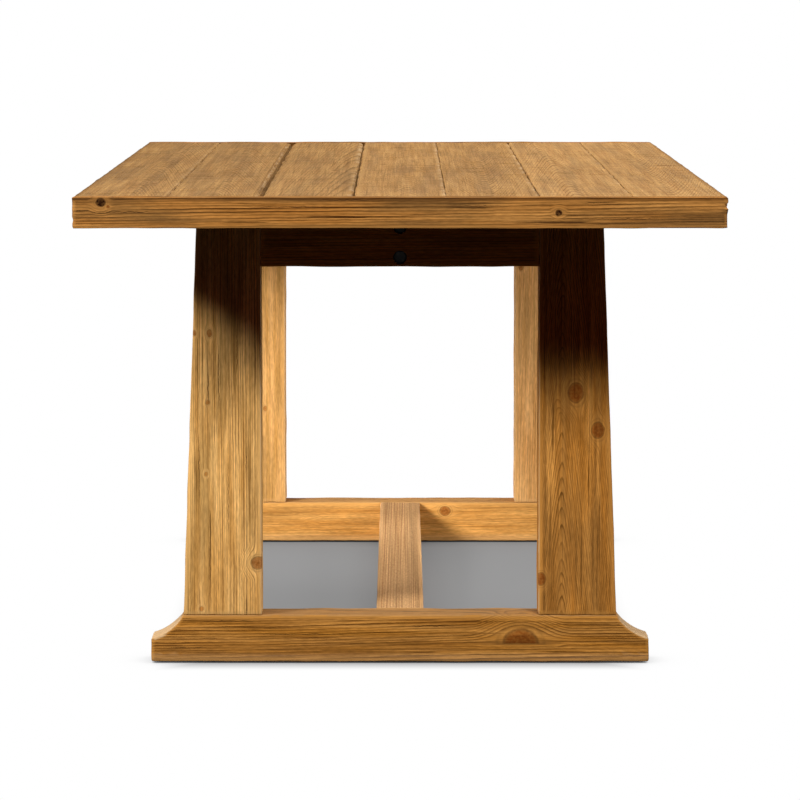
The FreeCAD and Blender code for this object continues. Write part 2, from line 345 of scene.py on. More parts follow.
def add(tree, kind, inputs=None, stops=(), **settings):
    """Adds a node. An input takes a value, a socket or a node, whose first shown output is used."""
    made = tree.nodes.new("ShaderNode" + kind)
    for key, value in settings.items():
        setattr(made, key, value)
    for key, value in (inputs or {}).items():
        if isinstance(value, bpy.types.Node):
            value = next(socket for socket in value.outputs if socket.enabled)
        if isinstance(value, bpy.types.NodeSocket):
            tree.links.new(value, made.inputs[key])
        else:
            made.inputs[key].default_value = value
    if stops:
        ramp = made.color_ramp
        while len(ramp.elements) < len(stops):
            ramp.elements.new(1.0)
        for element, (position, shade) in zip(ramp.elements, stops):
            element.position = position
            element.color = colour(shade) if isinstance(shade, str) else (shade, shade, shade, 1.0)
    return made


def new_tree(name):
    """A new material and its empty node tree."""
    material = bpy.data.materials.new(name)
    material.use_nodes = True
    material.node_tree.nodes.clear()
    return material, material.node_tree


# Shades of old pine: pale early wood, body, late wood and weathered grey
# The planks darken from right to left, a painted shade for light that falls from the right
LEFT_PLANK_SHADES = ("#a57f4c", "#977143", "#5e401e", "#775b39")
PLANK_SHADES = ("#af8752", "#a17947", "#664523", "#7e603e")
RIGHT_PLANK_SHADES = ("#b99059", "#ac824f", "#714e28", "#866945")
CAP_SHADES = ("#b37e40", "#a16b30", "#2c1202", "#624625")
LEG_SHADES = ("#e8b66f", "#cb9650", "#5e3811", "#876633")
ORANGE_SHADES = ("#c98d44", "#af722c", "#673e11", "#80582a")
BASE_SHADES = {"front": ("#c28942", "#ae742c", "#452203", "#845725"),
               "back": ("#d79e55", "#bd823d", "#8c5a26", "#a2753d")}
BACK_LEFT_SHADES = ("#d7a262", "#bf8b49", "#8c5e2c", "#9f7842")
BACK_RIGHT_SHADES = ("#dda96b", "#c68f51", "#946431", "#a9804b")
STRETCHER_SHADES = ("#c59b6a", "#b3895b", "#83572d", "#9d7950")
# A dark brown for dirt and painted shade in the gaps, for knots' rims and for cracks
DARK_BROWN = colour("#3a2412")
# A pale cream for fresh-cut, torn and rubbed wood, and for painted highlights
FRESH_WOOD_AND_HIGHLIGHT = colour("#ccb189")

# What a knot's wood takes away from the light: a dead black one, a brown one and an amber one
DEAD, BROWN, AMBER = colour("#2e0d0a"), colour("#bd9b80"), colour("#dcbf9f")

# Patterns in the wood: length along the grain for a width of one, and width across it
RING_BENDS = (6, 110 * MM)
RING_TREMBLE = (4, 13 * MM)
RING_BREAKS = (25, 8 * MM)
FIBRES = (60, 2.2 * MM)
BRUSHED_LINES = (90, 1.9 * MM)
STREAKS = (20, 11 * MM)
WEATHERING = (8, 32 * MM)
FLECKS = (7, 1.8 * MM)             # torn fibre, dark and pale
SAW_CHATTER = (0.6, 44 * MM)

TREMBLE = 2.2 * MM                 # how far the fine tremble pushes a ring
UNEVEN_RINGS = 21 * MM             # over which rings grow wider and closer
UNEVENNESS = 2.2                   # in widths of a ring
HEART_EDGES = (8 * MM, 45 * MM)    # beside the heart: where its bold lines end
FLECK_CONTRAST = 0.2
KNOT_EDGE = 9 * MM                 # waves in a knot's ragged outline
KNOT_RAGGED = 3.4 * MM             # and how far they reach
KNOT_MOTTLE = 5 * MM
SAWN_OFF_EDGE = 4 * MM             # over which a knot ends where the saw went through it
CRACK_DEPTH = 12 * MM
BUMP_HEIGHT, BUMP_STRENGTH = 0.6 * MM, 0.7
LATE_WOOD_PROUD = 0.6              # how far late wood stands above the fibres
FIBRE_DARK, FIBRE_PALE = 1.1, 0.9
BRUSHED_SHADE = 0.75
HANDS_DARKEN = 0.75
PINE_SHINE = 0.02

# The part of a noise's range that counts, and what it turns into
NOISE_SPAN = {"From Min": 0.3, "From Max": 0.7}
RING_STRENGTH = {"To Min": 0.45, "To Max": 1.0}
RING_FADING = {"From Min": 0.34, "From Max": 0.58, "To Min": 0.4}
BRUSHED_SPAN = {"From Min": 0.63, "From Max": 0.69}
STREAK_SPAN = {"From Min": 0.36, "From Max": 0.62}
WEATHER_SPAN = {"From Min": 0.45, "From Max": 0.65}
DENT_DIRT_AND_SHADE = {"From Min": 0.4, "From Max": 0.62, "To Min": 0.25, "To Max": 0.95}
MOTTLE_SHADE = {"From Min": 0.35, "From Max": 0.6, "To Min": 0.7}
PINE_ROUGHNESS = {"To Min": 0.7, "To Max": 0.9}

# The same for the distance from a knot or a crack, where one is its reach
RINGS_PARTED = {"From Min": 0.9, "From Max": 3.2, "To Min": 0.92, "To Max": 0.0}
KNOT_WOOD = {"From Min": 0.75, "From Max": 1.15, "To Min": 1.0, "To Max": 0.0}
KNOT_HALO = {"From Min": 1.0, "From Max": 3.0, "To Min": 0.3, "To Max": 0.0}
CRACK_SHADE = {"From Min": 0.6, "From Max": 1.0, "To Min": 0.85, "To Max": 0.0}

# Dark rings in a knot and at its rim: distance from its middle, scaled, and darkness
KNOT_RING_SCALE = 0.4
KNOT_RINGS = [(0.0, 0.5), (0.06, 0.15), (0.16, 0.0), (0.2, 0.22), (0.25, 0.0), (0.34, 0.1), (0.4, 0.6),
              (0.46, 0.0), (0.56, 0.25), (0.62, 0.0)]

# A year's late wood: how long before the year's end, in shares of the late wood, and how dark it is there
LATE_WOOD = [(1.7, 0.06), (1.0, 0.4), (0.53, 1.0), (0.23, 0.9)]


def knot(centre, reach, shade, *sawn_off):
    """A knot, in millimetres: its middle, its reach each way, its shade and the level it is sawn off at."""
    centre, reach, sawn_off = [[value * MM for value in values] for values in (centre, reach, sawn_off)]
    return centre, reach, shade, sawn_off


def crack(centre, length, width):
    """A drying crack along the grain, in millimetres."""
    return [value * MM for value in centre], length * MM, width * MM


def across(grain):
    """The two axes across the grain."""
    return [axis for axis in (X, Y, Z) if axis != grain]


def heart_distance(tree, axes, grain, heart, lean, taper):
    """How far a point lies from the tree's heart, which leans in the board, and how far beside it."""
    offsets = []
    for axis, middle, slope in zip(across(grain), heart, lean):
        drift = add(tree, "Math", {0: axes[grain], 1: -slope, 2: -middle}, operation="MULTIPLY_ADD")
        offsets.append(add(tree, "Math", {0: axes[axis], 1: drift}, operation="ADD"))
    arm = add(tree, "CombineXYZ", {0: offsets[0], 1: offsets[1]})
    radius = add(tree, "VectorMath", {0: arm}, operation="LENGTH").outputs["Value"]
    radius = add(tree, "Math", {0: axes[grain], 1: taper, 2: radius}, operation="MULTIPLY_ADD")
    return radius, add(tree, "Math", {0: offsets[0]}, operation="ABSOLUTE")


def ragged_place(tree, place):
    """A point's place, shaken a little, for the ragged outlines of knots and cracks."""
    shake = add(tree, "TexNoise", {"Vector": place, "Scale": 1 / KNOT_EDGE, "Detail": 3.0}).outputs["Color"]
    shaken = add(tree, "VectorMath", {0: shake, 1: (KNOT_RAGGED,) * 3, 2: place}, operation="MULTIPLY_ADD")
    return add(tree, "VectorMath", {0: shaken, 1: (KNOT_RAGGED / 2,) * 3}, operation="SUBTRACT")


def distance(tree, place, centre, reach):
    """How far a place is from a middle, where one is the reach."""
    away = add(tree, "Mapping", {"Vector": place, "Location": centre, "Scale": reach}, vector_type="TEXTURE")
    return add(tree, "VectorMath", {0: away}, operation="LENGTH").outputs["Value"]


def knot_distance(tree, axes, ragged, centre, reach, sawn_off):
    """The same for a knot, which ends where it is sawn off."""
    away = distance(tree, ragged, centre, reach)
    for level in sawn_off:
        under = add(tree, "Math", {0: axes[Z], 1: -1 / SAWN_OFF_EDGE, 2: 1 + level / SAWN_OFF_EDGE},
                    operation="MULTIPLY_ADD")
        away = add(tree, "Math", {0: away, 1: under}, operation="MAXIMUM")
    return away


def knot_ring(centre, grain, heart, lean, taper, sway):
    """The distance from the heart of the ring that a knot's middle lies on."""
    offsets = [centre[axis] - middle - slope * centre[grain]
               for axis, middle, slope in zip(across(grain), heart, lean)]
    return sway + TREMBLE / 2 + taper * centre[grain] + sqrt(sum(offset ** 2 for offset in offsets))


def year_rings(tree, radius, beside, breaks, ring, late_share, heart_lines):
    """Late wood in rings of uneven width and strength, bold beside the heart and broken along the grain."""
    uneven = add(tree, "TexNoise", {"W": radius, "Scale": 1 / UNEVEN_RINGS, "Detail": 1.0},
                 noise_dimensions="1D")
    radius = add(tree, "Math", {0: uneven, 1: UNEVENNESS * ring, 2: radius}, operation="MULTIPLY_ADD")
    count = add(tree, "Math", {0: radius, 1: ring}, operation="DIVIDE")
    year = add(tree, "Math", {0: count}, operation="FLOOR")
    season = add(tree, "Math", {0: count}, operation="FRACT")
    late_stops = [(1 - before * late_share, dark) for before, dark in LATE_WOOD]
    late_wood = add(tree, "ValToRGB", {0: season}, stops=[(0, 0.0), *late_stops, (1, 0.0)])
    strength = add(tree, "TexWhiteNoise", {"W": year}, noise_dimensions="1D").outputs["Value"]
    strength = add(tree, "MapRange", {"Value": strength, **RING_STRENGTH})
    broken = add(tree, "MapRange", {"Value": breaks, **RING_FADING})
    bold = add(tree, "MapRange", {"Value": beside, "From Min": HEART_EDGES[0], "From Max": HEART_EDGES[1],
                                  "To Min": heart_lines, "To Max": 1.0})
    for share in (strength, broken, bold):
        late_wood = add(tree, "Math", {0: late_wood, 1: share}, operation="MULTIPLY", use_clamp=True)
    return late_wood


def tone_with_wear_and_painted_light(tree, tone, shade, patch, pale, late):
    """Adds wear and painted light: arrises rubbed pale with a painted highlight or handled dark, saw dents
    darkened with dirt and painted shade, dirt and painted shade in gaps, and fresh or torn wood with painted
    highlights.
    """
    wear, dent, dirt_and_shade, fresh_and_highlight = [add(tree, "Attribute", attribute_name=kept).outputs["Fac"]
                               for kept in ("arris_wear_and_highlight", "saw_dent", "dirt_and_painted_shade", "fresh_wood_and_highlight")]
    rubbed_and_highlight = add(tree, "Math", {0: wear, 1: patch}, operation="MULTIPLY", use_clamp=True)
    handled = add(tree, "Math", {0: wear, 1: -HANDS_DARKEN}, operation="MULTIPLY", use_clamp=True)
    faded = add(tree, "MapRange", {"Value": patch, **DENT_DIRT_AND_SHADE})
    dent = add(tree, "Math", {0: dent, 1: faded}, operation="MULTIPLY", use_clamp=True)
    fresh_and_highlight = add(tree, "Math", {0: fresh_and_highlight, 1: shade}, operation="MULTIPLY", use_clamp=True)
    for amount, overlay in ((rubbed_and_highlight, pale), (handled, late), (dent, late), (dirt_and_shade, DARK_BROWN), (fresh_and_highlight, FRESH_WOOD_AND_HIGHLIGHT)):
        tone = add(tree, "Mix", {0: amount, 6: tone, 7: overlay}, data_type="RGBA")
    return tone


def knot_tone(tree, tone, away, knot_shade, pale, mottle):
    """Adds a knot's own wood, with a pale halo, a dark rim and rings inside."""
    inside = add(tree, "MapRange", {"Value": away, **KNOT_WOOD}, interpolation_type="SMOOTHSTEP")
    inside = add(tree, "Math", {0: inside, 1: mottle}, operation="MULTIPLY")
    halo = add(tree, "MapRange", {"Value": away, **KNOT_HALO}, interpolation_type="SMOOTHSTEP")
    tone = add(tree, "Mix", {0: halo, 6: tone, 7: pale}, data_type="RGBA")
    tone = add(tree, "Mix", {0: inside, 6: tone, 7: knot_shade}, data_type="RGBA", blend_type="MULTIPLY")
    place_in_knot = add(tree, "Math", {0: away, 1: KNOT_RING_SCALE}, operation="MULTIPLY")
    rim = add(tree, "ValToRGB", {0: place_in_knot}, stops=KNOT_RINGS)
    rim = add(tree, "Math", {0: rim, 1: mottle}, operation="MULTIPLY")
    return add(tree, "Mix", {0: rim, 6: tone, 7: DARK_BROWN}, data_type="RGBA")


def old_pine(name, shades, grain, heart, lean=(0.0, 0.0), knots=(), cracks=(), taper=0.0, ring=4.6 * MM,
             sway=5 * MM, lines=1.0, fibres=0.17, stretch=1.0, chatter=0.0, weather=0.55, late_share=0.3,
             heart_lines=1.0):
    """Old softwood, sawn, brushed and waxed. Its eye-catchers are the hard dark late wood that stands
    proud of pale early wood, brown knots that the rings flow round, and grey weathered streaks."""
    material, tree = new_tree(name)
    pale, body, late, grey = [colour(shade) for shade in shades]
    place = add(tree, "TexCoord").outputs["Object"]
    axes = add(tree, "SeparateXYZ", {0: place}).outputs

    def pattern(size, detail=2.0, run=stretch):
        """A noise that is drawn out along the grain."""
        length, width = size
        scale = [1.0, 1.0, 1.0]
        scale[grain] = 1 / (run * length)
        drawn_out = add(tree, "Mapping", {"Vector": place, "Scale": scale})
        return add(tree, "TexNoise", {"Vector": drawn_out, "Scale": 1 / width, "Detail": detail})

    # Rings round the heart, with slow bends and a fine tremble, that part round each knot
    radius, beside = heart_distance(tree, axes, grain, heart, lean, taper)
    for wave, reach in ((pattern(RING_BENDS), 2 * sway), (pattern(RING_TREMBLE), TREMBLE)):
        radius = add(tree, "Math", {0: wave, 1: reach, 2: radius}, operation="MULTIPLY_ADD")
    ragged = ragged_place(tree, place)
    knot_fields = []
    for centre, reach, knot_shade, sawn_off in knots:
        away = knot_distance(tree, axes, ragged, centre, reach, sawn_off)
        near = add(tree, "MapRange", {"Value": away, **RINGS_PARTED}, interpolation_type="SMOOTHSTEP")
        parted = knot_ring(centre, grain, heart, lean, taper, sway)
        radius = add(tree, "Mix", {0: near, 2: radius, 3: parted}, data_type="FLOAT")
        knot_fields.append((away, knot_shade))
    late_wood = year_rings(tree, radius, beside, pattern(RING_BREAKS), ring, late_share, heart_lines)

    # Streaks of pale wood and body, late wood, dark brushed lines and grey weathering
    streak = pattern(STREAKS, 3.0)
    streak_tone = add(tree, "MapRange", {"Value": streak, **STREAK_SPAN})
    tone = add(tree, "Mix", {0: streak_tone, 6: pale, 7: body}, data_type="RGBA")
    brushed = add(tree, "MapRange", {"Value": pattern(BRUSHED_LINES, 1.0), **BRUSHED_SPAN,
                                     "To Max": BRUSHED_SHADE * lines})
    late_amount = add(tree, "Math", {0: late_wood, 1: lines}, operation="MULTIPLY")
    late_amount = add(tree, "Math", {0: late_amount, 1: brushed}, operation="MAXIMUM")
    tone = add(tree, "Mix", {0: late_amount, 6: tone, 7: late}, data_type="RGBA")
    patch = pattern(WEATHERING, 4.0)
    patch_amount = add(tree, "MapRange", {"Value": patch, **WEATHER_SPAN, "To Max": weather})
    tone = add(tree, "Mix", {0: patch_amount, 6: tone, 7: grey}, data_type="RGBA")

    # Fibres, flecks and the saw's chatter
    fibre = pattern(FIBRES)
    shade = add(tree, "MapRange", {"Value": fibre, **NOISE_SPAN, "To Min": 1 - FIBRE_DARK * fibres,
                                   "To Max": 1 + FIBRE_PALE * fibres})
    marks = [(pattern(FLECKS, 3.0, run=1), FLECK_CONTRAST)]
    if chatter:
        marks.append((pattern(SAW_CHATTER, 3.0, run=1), chatter))
    for mark, contrast in marks:
        mark = add(tree, "MapRange", {"Value": mark, **NOISE_SPAN, "To Min": 1 - contrast,
                                      "To Max": 1 + contrast})
        shade = add(tree, "Math", {0: shade, 1: mark}, operation="MULTIPLY")
    tone = add(tree, "Mix", {0: 1.0, 6: tone, 7: shade}, data_type="RGBA", blend_type="MULTIPLY")

    # Wear with painted light, knots and cracks
    tone = tone_with_wear_and_painted_light(tree, tone, shade, patch, pale, late)
    mottling = add(tree, "TexNoise", {"Vector": place, "Scale": 1 / KNOT_MOTTLE, "Detail": 3.0})
    mottle = add(tree, "MapRange", {"Value": mottling, **MOTTLE_SHADE})
    for away, knot_shade in knot_fields:
        tone = knot_tone(tree, tone, away, knot_shade, pale, mottle)
    height = add(tree, "Math", {0: late_wood, 1: LATE_WOOD_PROUD, 2: fibre}, operation="MULTIPLY_ADD")
    for centre, length, width in cracks:
        reach = [width / 2] * 3
        reach[grain] = length / 2
        reach[Y if grain != Y else Z] = CRACK_DEPTH
        split = add(tree, "MapRange", {"Value": distance(tree, ragged, centre, reach), **CRACK_SHADE})
        tone = add(tree, "Mix", {0: split, 6: tone, 7: DARK_BROWN}, data_type="RGBA")
        height = add(tree, "Math", {0: height, 1: split}, operation="SUBTRACT")

    bump = add(tree, "Bump", {"Height": height, "Strength": BUMP_STRENGTH, "Distance": BUMP_HEIGHT})
    gloss = add(tree, "MapRange", {"Value": streak, **PINE_ROUGHNESS})
    shader = add(tree, "BsdfPrincipled", {"Base Color": tone, "Roughness": gloss, "IOR": 1.5, "Normal": bump,
                                          "Specular IOR Level": PINE_SHINE})
    add(tree, "OutputMaterial", {"Surface": shader})
    return material


def beech():
    """Planed beech: pale, even and close-grained, with fine brown flecks along the grain."""
    material, tree = new_tree("planed_beech")
    place = add(tree, "TexCoord").outputs["Object"]
    grain = add(tree, "Mapping", {"Vector": place, "Scale": (1.0, 0.05, 1.0)})
    fleck = add(tree, "TexNoise", {"Vector": grain, "Scale": 1 / (2 * MM), "Detail": 2.0})
    tone = add(tree, "ValToRGB", {0: fleck}, stops=[(0.3, "#b98f63"), (0.55, "#d2aa7c"), (0.75, "#dcb88d")])
    shader = add(tree, "BsdfPrincipled", {"Base Color": tone, "Roughness": 0.55})
    add(tree, "OutputMaterial", {"Surface": shader})
    return material


def black_steel():
    """Black-oxide steel, oiled: near black with a soft broken shine and rubbed grey specks."""
    material, tree = new_tree("black_oxide_steel")
    place = add(tree, "TexCoord").outputs["Object"]
    bloom = add(tree, "TexNoise", {"Vector": place, "Scale": 1 / (4 * MM), "Detail": 4.0})
    tone = add(tree, "ValToRGB", {0: bloom}, stops=[(0.3, "#0f0e0e"), (0.6, "#171615"), (0.8, "#262422")])
    gloss = add(tree, "MapRange", {"Value": bloom, "To Min": 0.35, "To Max": 0.6})
    shader = add(tree, "BsdfPrincipled", {"Base Color": tone, "Metallic": 1.0, "Roughness": gloss})
    add(tree, "OutputMaterial", {"Surface": shader})
    return material


def brown_felt():
    """Pressed wool felt: dark, matt, with short fibres in every direction."""
    material, tree = new_tree("brown_felt")
    place = add(tree, "TexCoord").outputs["Object"]
    wool = add(tree, "TexNoise", {"Vector": place, "Scale": 1 / (1.2 * MM), "Detail": 3.0})
    tone = add(tree, "ValToRGB", {0: wool}, stops=[(0.3, "#241a13"), (0.7, "#4b382a")])
    shader = add(tree, "BsdfPrincipled", {"Base Color": tone, "Roughness": 0.95, "Sheen Weight": 0.3})
    add(tree, "OutputMaterial", {"Surface": shader})
    return material


# The top: planks, then the cap boards across their ends

# For each plank: shades, heart to the right of its middle, heart under its face, lean of the heart, taper
# of the rings, and where its brown knot and its amber knot lie along the table
PLANK_TREES = [
    (LEFT_PLANK_SHADES, 10 * MM, 14 * MM, 0.0, 0.08, -0.62, 0.71),
    (LEFT_PLANK_SHADES, -5 * MM, 16 * MM, 0.0, 0.08, -0.39, 0.54),
    (LEFT_PLANK_SHADES, 70 * MM, 60 * MM, 0.01, 0.03, -0.16, 0.37),
    (PLANK_SHADES, 12 * MM, 10 * MM, 0.0, 0.1, 0.07, 0.20),
    (PLANK_SHADES, -4 * MM, 12 * MM, 0.0, -0.07, 0.30, 0.03),
    (RIGHT_PLANK_SHADES, -14 * MM, 12 * MM, 0.0, 0.06, 0.53, -0.14),
    (RIGHT_PLANK_SHADES, -10 * MM, 14 * MM, 0.0, -0.09, 0.76, -0.31),
]
BROWN_KNOT_ASIDE, BROWN_KNOT = 31 * MM, (6 * MM, 8 * MM, 30 * MM)
AMBER_KNOT_ASIDE, AMBER_KNOT = 24 * MM, (4.5 * MM, 6 * MM, 30 * MM)
SIDE_LEAN = 0.3                    # share of the lean that goes sideways
PLANK_GRAIN = {"ring": 4.4 * MM, "sway": 6 * MM, "lines": 0.75, "fibres": 0.16, "stretch": 2,
               "chatter": 0.11, "weather": 0.5, "heart_lines": 1.7}

plank_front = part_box("front_end_cap")[1].y
plank_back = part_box("back_end_cap")[0].y
top_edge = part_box("top_plank_7")[1].x
side_arrises = [TOP_ARRIS, *GAP_ARRISES, TOP_ARRIS]
side_dirt_and_shade = [0, *GAP_DIRT_AND_SHADE, 0]
side_tears_and_highlights = [*GAP_TEARS_AND_HIGHLIGHTS, 0]


def gap_wear_and_painted_light(piece, i, low, high):
    """Wears a plank along its gaps: wane on both sides, dirt and painted shade in them, and torn fibres with
    a painted highlight on its right edge.
    """
    both = ((low.x, side_dirt_and_shade[i]), (high.x, GAP_DIRT_AND_SHADE_LEFT * side_dirt_and_shade[i + 1]))
    gap_sides = [(side, dirt_and_shade) for side, dirt_and_shade in both if dirt_and_shade]
    marked(piece, "gap", [v.index for v in piece.data.vertices if v.co.z > high.z - GAP_DEEP
                          and any(abs(v.co.x - side) < GAP_SIDE for side, dirt_and_shade in gap_sides)])
    rough(piece, GAP_WAVE, GAP_WANE, shifted(GAP_SHIFT, i), "gap")

    def dirt_and_shade_at(point, normal):
        depth = high.z - GAP_DARK_START - point.z
        near = [dirt_and_shade for side, dirt_and_shade in gap_sides if abs(point.x - side) < GAP_DARK_SIDE]
        return max([0, *[dirt_and_shade * min(1, depth / GAP_DARK_RUN) for dirt_and_shade in near]])

    def torn_and_highlit_at(point, normal):
        if high.x - point.x < TEAR_SIDE and point.z > high.z - TEAR_DEEP:
            tear = torn_noise.noise((point.x, point.y / TEAR_LENGTH, TEAR_SHIFT * i))
            return side_tears_and_highlights[i] * max(0, TEAR_LEVEL + TEAR_CONTRAST * tear)
        return 0

    tinted(piece, "dirt_and_painted_shade", dirt_and_shade_at)
    tinted(piece, "fresh_wood_and_highlight", torn_and_highlit_at)


for i, (shades, aside, under, slope, taper, brown_y, amber_y) in enumerate(PLANK_TREES):
    node = f"top_plank_{i + 1}"
    low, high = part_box(node)
    low.y, high.y = plank_front, plank_back
    piece = sawn(node + "_board", low, high)
    for side, arris in ((low.x, side_arrises[i]), (high.x, side_arrises[i + 1])):
        pick(piece, "EDGE", lambda a, b: all(abs(p.x - side) < CLOSE and abs(p.z - high.z) < CLOSE
                                             for p in (a, b)))
        bpy.ops.mesh.bevel(offset=arris, segments=2, affect="EDGES")
        done()
    worked(piece, node, TOP_ARRIS, PLANK_CUTS, Y)
    saw_marks(piece, WEAR_SEEDS[node])
    gap_wear_and_painted_light(piece, i, low, high)
    tinted(piece, "arris_wear_and_highlight", lambda p, n: HANDLED if abs(p.x) > top_edge - PLANK_HANDLED_EDGE
            and p.z > high.z - PLANK_HANDLED_EDGE else None)
    middle, turn = (low.x + high.x) / 2, (-1) ** i
    knots = [((middle + turn * BROWN_KNOT_ASIDE, brown_y, high.z), BROWN_KNOT, BROWN, ()),
             ((middle - turn * AMBER_KNOT_ASIDE, amber_y, high.z), AMBER_KNOT, AMBER, ())]
    fitted(piece, node,
           old_pine(f"sawn_old_pine_plank_{i + 1}", shades, Y, (middle + aside, high.z - under),
                    (SIDE_LEAN * slope, slope), knots, taper=taper, **PLANK_GRAIN))

CAP_KNOTS = {
    "front": [knot((-456, -1050, 753), (7.5, 30, 7), DEAD), knot((-445, -1050, 746), (2.6, 30, 2), BROWN),
              knot((242, -1050, 736.5), (5.5, 30, 5), DEAD)],
    "back": [knot((180, 1050, 742), (7, 30, 6), BROWN), knot((-330, 1050, 728), (5, 30, 4), DEAD)],
}
CAP_CRACKS = {
    "front": [crack((-411, -1050, 738), 80, 1.3), crack((-168, -1050, 746), 150, 1.2),
              crack((-84, -1050, 756), 110, 1.5), crack((122, -1050, 747), 120, 1.2),
              crack((335, -1050, 727), 150, 1.2), crack((305, -1050, 752), 60, 1.8)],
    "back": [],
}
CAP_HEART_UNDER, CAP_LEAN = 70 * MM, (0, 0.012)
CAP_GRAIN = {"ring": 4.4 * MM, "sway": 4 * MM, "lines": 1.25, "weather": 0.7, "late_share": 0.48}

for end, knots in CAP_KNOTS.items():
    node = end + "_end_cap"
    low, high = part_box(node)
    piece = sawn(node + "_board", low, high)
    worked(piece, node, TOP_ARRIS, CAP_CUTS, X)
    marked(piece, "ends", [v.index for v in piece.data.vertices if abs(v.co.x) > high.x - CHIP_REACH])
    rough(piece, CHIP_WAVE, -CHIP_DEPTH, CHIP_PLACE, "ends", CHIP_SHARE)
    tinted(piece, "arris_wear_and_highlight", lambda p, n: HANDLED if p.z > high.z - CAP_HANDLED_EDGE
            and n.z < ARRIS_COSINE else None)
    heart = ((low.y + high.y) / 2, low.z - CAP_HEART_UNDER)
    fitted(piece, node, old_pine(f"sawn_old_pine_{end}_cap", CAP_SHADES, X, heart, CAP_LEAN,
                                             knots, CAP_CRACKS[end], **CAP_GRAIN))

# The trestles. The back one is of calmer, less brushed wood than the front one.

base_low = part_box("front_base")[0].z
base_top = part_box("front_base")[1].z
half_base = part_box("front_base")[1].x
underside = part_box("front_top_rail")[1].z
half_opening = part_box("front_right_leg")[0].x
leg_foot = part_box("front_right_leg")[1].x

# For each leg: shades, heart, taper of the rings, grain, knots and cracks
LEG_SWAY = 4 * MM
LEG_TREES = {
    "front_left": (LEG_SHADES, (-20 * MM, -745 * MM), 0.0, {"ring": 4.4 * MM, "lines": 0.95}, [
        knot((-327, -780, 530), (3, 30, 4), BROWN), knot((-303, -780, 530), (4, 30, 6), BROWN),
        knot((-306, -780, 420), (3, 30, 3.5), AMBER), knot((-309, -780, 305), (3, 30, 3.5), AMBER),
        knot((-317, -780, 88), (3.5, 30, 4), AMBER), knot((-226, -780, 162), (12, 30, 10), BROWN)], [
        crack((-305, -780, 445), 60, 1.6), crack((-246, -780, 92), 50, 1.6),
        crack((-303, -780, 175), 175, 1.3), crack((-288, -780, 456), 130, 1.3),
        crack((-245, -780, 327), 44, 1.4), crack((-259, -780, 503), 90, 1.2),
        crack((-320, -780, 311), 120, 1.2), crack((-274, -780, 263), 150, 1.1)]),
    "front_right": (ORANGE_SHADES, (258 * MM, -774 * MM), 0.13,
                    {"ring": 3.1 * MM, "lines": 1.15, "fibres": 0.23}, [
        knot((280, -780, 435), (12, 30, 16), BROWN), knot((315, -780, 375), (10, 30, 13), BROWN),
        knot((225, -780, 136), (8, 30, 10), BROWN)], []),
    "back_left": (BACK_LEFT_SHADES, (-270 * MM, 830 * MM), 0.02,
                  {"ring": 4.4 * MM, "lines": 0.42, "fibres": 0.14}, [
        knot((-290, 780, 330), (8, 30, 10), BROWN), knot((-260, 705, 260), (3.5, 30, 5), AMBER)], []),
    "back_right": (BACK_RIGHT_SHADES, (330 * MM, 690 * MM), 0.03,
                   {"ring": 4.4 * MM, "lines": 0.75, "fibres": 0.16}, [
        knot((233, 705, 534), (5, 30, 7), BROWN), knot((300, 780, 200), (7, 30, 10), BROWN)], []),
}

for place, (shades, heart, taper, grain, knots, cracks) in LEG_TREES.items():
    node = place + "_leg"
    low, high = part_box(node)
    low.z, high.z = base_top, underside
    piece = sawn(node + "_post", low, high)
    side = 1 if "right" in place else -1
    batter = side * (high.x - low.x - LEG_HEAD_WIDTH)
    moved(piece, lambda p: p.z > underside - CLOSE and abs(p.x) > leg_foot - CLOSE, (-batter, 0, 0))
    worked(piece, node, TIMBER_ARRIS, LEG_CUTS, Z)
    # A painted highlight along the legs' inner arrises
    tinted(piece, "fresh_wood_and_highlight", lambda p, n: INNER_ARRIS_HIGHLIGHT if abs(p.x) < half_opening + INNER_ARRIS_HIGHLIGHT_WIDTH
            and abs(n.y) > PARTLY else 0)
    fitted(piece, node,
           old_pine(f"brushed_old_pine_{place}_leg", shades, Z, heart, knots=knots, cracks=cracks,
                    taper=taper, sway=LEG_SWAY, **grain))


def cove_drop(x):
    """How far the cove lies under the top of the base, on an arc through its two ends and its hollow."""
    run = half_base - leg_foot
    fall = base_top - base_low - COVE_END_HEIGHT
    chord = sqrt(run ** 2 + fall ** 2)
    radius = (chord ** 2 / 4 + COVE_HOLLOW ** 2) / (2 * COVE_HOLLOW)
    reach = radius - COVE_HOLLOW
    centre_x = run / 2 + reach * fall / chord
    centre_z = -fall / 2 + reach * run / chord
    return -(centre_z - sqrt(radius ** 2 - (x - leg_foot - centre_x) ** 2))


BASE_KNOTS = {
    "front": [knot((193, -780, 33), (27, 30, 22), BROWN, 32)],
    "back": [knot((87, 705, 61), (10, 30, 9), BROWN), knot((-170, 780, 44), (12, 30, 9), BROWN)],
}
BASE_CRACKS = {
    "front": [crack((-272, -780, 68), 120, 1.5), crack((-160, -780, 47), 170, 1.3),
              crack((48, -780, 60), 90, 1.4), crack((-336, -780, 25), 70, 1.3)],
    "back": [],
}
BASE_HEART_BEHIND, BASE_HEART_UNDER, BASE_LEAN = 30 * MM, 60 * MM, (0, 0.02)
BASE_GRAIN = {"front": {"lines": 1.25}, "back": {"lines": 0.55, "fibres": 0.1}}
BASE_RINGS = {"ring": 4 * MM, "sway": 6 * MM, "late_share": 0.46}

